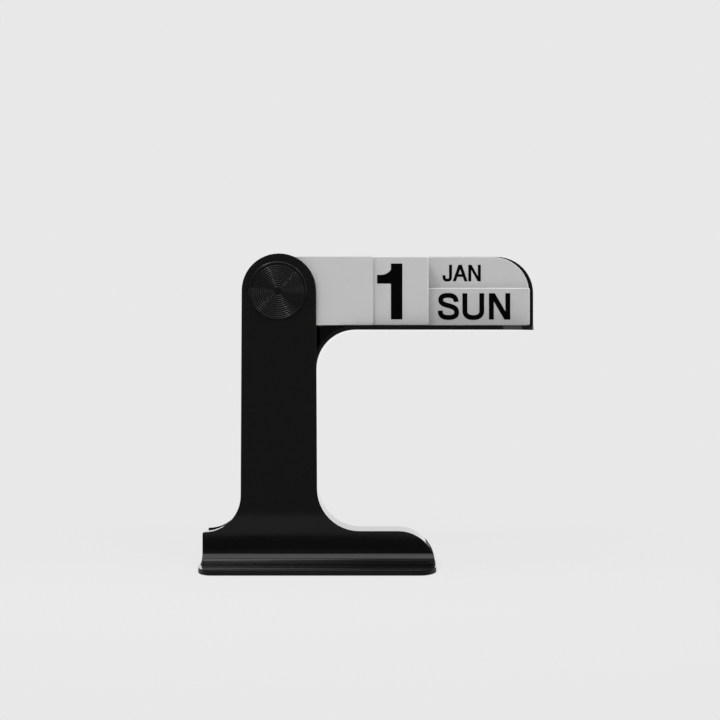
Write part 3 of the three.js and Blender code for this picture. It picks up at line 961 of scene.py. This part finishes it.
class CALENDAR_OT_legends(Operator):
    """Print the figures and the words on the cards"""

    bl_idname = "calendar.legends"
    bl_label = "Legends"

    def execute(self, context):
        legend = settings().legend
        for mark in TENS[1:]:
            lines = set_line(mark, figure_shapes, FIGURE_STROKE, legend.digit_height,
                             right=legend.tens_right, base=legend.digit_base)
            print_on_card("tens_card_" + mark, "tens_figure_" + mark, lines)
        for mark in UNITS:
            lines = set_line(mark, figure_shapes, FIGURE_STROKE, legend.digit_height,
                             left=legend.units_left, base=legend.digit_base)
            print_on_card("units_card_" + mark, "units_figure_" + mark, lines)
        for mark in WEEKDAYS:
            lines = set_line(mark.upper(), letter_shapes, WEEKDAY_STROKE, legend.weekday_height,
                             left=legend.weekday_left, base=legend.weekday_base)
            print_on_card("weekday_card_" + mark, "weekday_word_" + mark, lines)
        for mark in MONTHS:
            lines = set_line(mark.upper(), letter_shapes, MONTH_STROKE, legend.month_height,
                             left=legend.month_left, base=legend.month_base, tight=0.05)
            print_on_card("month_card_" + mark, "month_word_" + mark, lines)
        return {"FINISHED"}


class CALENDAR_OT_stage(Operator):
    """Set the camera, the pale floor and the soft light"""

    bl_idname = "calendar.stage"
    bl_label = "Stage"

    def execute(self, context):
        set_camera()
        set_floor()
        set_world()
        set_lights()
        context.scene.view_settings.view_transform = "Standard"
        return {"FINISHED"}


def set_camera():
    stage = settings().stage
    place = (PIN.x + stage.camera_x, FACE_Y - stage.camera_distance, stage.camera_height)
    bpy.ops.object.camera_add(location=place, rotation=(math.pi / 2, 0, 0))
    camera = bpy.context.object
    camera.name = "camera"
    camera.data.lens = stage.lens
    camera.data.sensor_width = 36
    camera.data.shift_x = stage.shift
    camera.data.clip_start = 0.05
    camera.data.clip_end = 20
    bpy.context.scene.camera = camera


def set_floor():
    """A pale floor: the camera sees it even, with a soft shadow, and the gloss sees darker rings, a
    painted reflection in the black plastic.
    """
    stage = settings().stage
    deselect_all()
    bpy.ops.mesh.primitive_circle_add(vertices=96, radius=stage.floor_radius, fill_type="NGON",
                                      location=(0.03, 0, -0.05 * MM))
    floor = bpy.context.object
    floor.name = "floor"
    bpy.ops.object.transform_apply(location=True, rotation=False, scale=False)
    material = bpy.data.materials.new("pale_floor")
    material.use_nodes = True
    nodes, links = material.node_tree.nodes, material.node_tree.links
    nodes.clear()
    output = nodes.new("ShaderNodeOutputMaterial")
    lit = nodes.new("ShaderNodeBsdfDiffuse")
    lit_colour = nodes.new("ShaderNodeMixRGB")
    lit_colour.inputs["Color1"].default_value = (0.97, 0.97, 0.97, 1)
    even = nodes.new("ShaderNodeEmission")
    even.inputs["Color"].default_value = (1, 1, 1, 1)
    even.inputs["Strength"].default_value = stage.background
    blend = nodes.new("ShaderNodeMixShader")
    ray = nodes.new("ShaderNodeLightPath")
    place = nodes.new("ShaderNodeTexCoord")
    length = nodes.new("ShaderNodeVectorMath")
    length.operation = "LENGTH"
    fade = add_range(nodes, 0.08, 0.40, 0.88, 1.0, "SMOOTHSTEP")
    share = nodes.new("ShaderNodeMath")
    share.operation = "MULTIPLY"
    # Seen only by glossy rays: rings of darker and lighter floor, a painted reflection in the black
    # plastic
    painted_reflection = nodes.new("ShaderNodeValToRGB")
    stops = painted_reflection.color_ramp.elements
    stops[0].position, stops[0].color = 0.08, (0.2, 0.2, 0.2, 1)
    stops[1].position, stops[1].color = 0.5, (0.08, 0.08, 0.08, 1)
    for at, level in ((0.12, 0.02), (0.185, 0.02), (0.205, 0.26), (0.325, 0.26), (0.35, 0.08)):
        stops.new(at).color = (level, level, level, 1)
    links.new(place.outputs["Object"], length.inputs[0])
    links.new(length.outputs["Value"], fade.inputs["Value"])
    links.new(length.outputs["Value"], painted_reflection.inputs["Fac"])
    links.new(ray.outputs["Is Glossy Ray"], lit_colour.inputs["Fac"])
    links.new(painted_reflection.outputs["Color"], lit_colour.inputs["Color2"])
    links.new(lit_colour.outputs["Color"], lit.inputs["Color"])
    links.new(fade.outputs["Result"], share.inputs[0])
    links.new(ray.outputs["Is Camera Ray"], share.inputs[1])
    links.new(share.outputs["Value"], blend.inputs["Fac"])
    links.new(lit.outputs["BSDF"], blend.inputs[1])
    links.new(even.outputs["Emission"], blend.inputs[2])
    links.new(blend.outputs["Shader"], output.inputs["Surface"])
    floor.data.materials.append(material)


def set_world():
    """A plain background to the camera; for the rest, light from behind and a little from above."""
    stage = settings().stage
    world = bpy.data.worlds.new("studio")
    bpy.context.scene.world = world
    world.use_nodes = True
    nodes, links = world.node_tree.nodes, world.node_tree.links
    nodes.clear()
    output = nodes.new("ShaderNodeOutputWorld")
    seen = nodes.new("ShaderNodeBackground")
    seen.inputs["Color"].default_value = (1, 1, 1, 1)
    seen.inputs["Strength"].default_value = stage.background
    around = nodes.new("ShaderNodeBackground")
    ray = nodes.new("ShaderNodeLightPath")
    mix = nodes.new("ShaderNodeMixShader")
    place = nodes.new("ShaderNodeTexCoord")
    split = nodes.new("ShaderNodeSeparateXYZ")
    behind = add_range(nodes, 0.7, 0.97, 0.09, 1.07, "SMOOTHSTEP")
    above = add_range(nodes, 0.1, 0.9, 0.0, 0.3, "SMOOTHSTEP")
    level = nodes.new("ShaderNodeMath")
    level.operation = "MAXIMUM"
    around.inputs["Color"].default_value = (1, 1, 1, 1)
    links.new(place.outputs["Generated"], split.inputs["Vector"])
    links.new(split.outputs["Y"], behind.inputs["Value"])
    links.new(split.outputs["Z"], above.inputs["Value"])
    links.new(behind.outputs["Result"], level.inputs[0])
    links.new(above.outputs["Result"], level.inputs[1])
    links.new(level.outputs["Value"], around.inputs["Strength"])
    links.new(ray.outputs["Is Camera Ray"], mix.inputs["Fac"])
    links.new(around.outputs["Background"], mix.inputs[1])
    links.new(seen.outputs["Background"], mix.inputs[2])
    links.new(mix.outputs["Shader"], output.inputs["Surface"])


def area_light(name, place, size, watts):
    """A soft lamp that points at the calendar's middle."""
    deselect_all()
    bpy.ops.object.light_add(type="AREA", location=place)
    lamp = bpy.context.object
    lamp.name = name
    lamp.data.shape = "RECTANGLE"
    lamp.data.size, lamp.data.size_y = size
    lamp.data.energy = watts
    lamp.rotation_euler = (LIT_POINT - Vector(place)).to_track_quat("-Z", "Y").to_euler()


def set_lights():
    area_light("front_softbox", (-0.05, -1.2, 0.89), (0.64, 1.28), 3.9)
    area_light("top_softbox", (-0.46, -0.25, 1.1), (0.8, 0.8), 3.8)
    area_light("left_spot", (-0.46, -1.08, 1.04), (0.2, 0.2), 4)
    area_light("right_spot", (0.62, -1.0, 0.88), (0.2, 0.2), 2)
    area_light("right_softbox", (1.05, -0.9, 0.75), (2.0, 1.6), 9.2)
    area_light("left_softbox", (-0.95, -0.5, 0.35), (0.8, 0.8), 1.4)


class CALENDAR_PT_panel(Panel):
    """The calendar's pieces, in the order in which they are made"""

    bl_idname = "CALENDAR_PT_panel"
    bl_label = "Desk calendar"
    bl_space_type = "VIEW_3D"
    bl_region_type = "UI"
    bl_category = "Calendar"

    def draw(self, context):
        for operator in PIECES:
            self.layout.operator(operator.bl_idname)
        chosen = settings()
        for group in (chosen.stand, chosen.pin, chosen.card, chosen.legend, chosen.stage):
            box = self.layout.box()
            for name in group.__annotations__:
                box.prop(group, name)


GROUPS = (StandSettings, PinSettings, CardSettings, LegendSettings, StageSettings, CalendarSettings)
PIECES = (
    CALENDAR_OT_stage,
    CALENDAR_OT_shells,
    CALENDAR_OT_cover,
    CALENDAR_OT_discs,
    CALENDAR_OT_cards,
    CALENDAR_OT_legends,
)


def register():
    for group in GROUPS + PIECES + (CALENDAR_PT_panel,):
        bpy.utils.register_class(group)
    bpy.types.Scene.calendar = PointerProperty(type=CalendarSettings)


def unregister():
    del bpy.types.Scene.calendar
    for group in reversed(GROUPS + PIECES + (CALENDAR_PT_panel,)):
        bpy.utils.unregister_class(group)


def write_size():
    def plain(box):
        return [list(corner) for corner in box]


def main():
    register()
    bpy.ops.calendar.stage()
    bpy.ops.calendar.shells()
    bpy.ops.calendar.cover()
    bpy.ops.calendar.discs()
    bpy.ops.calendar.cards()
    bpy.ops.calendar.legends()
    write_size()


if __name__ == "__main__":
    main()
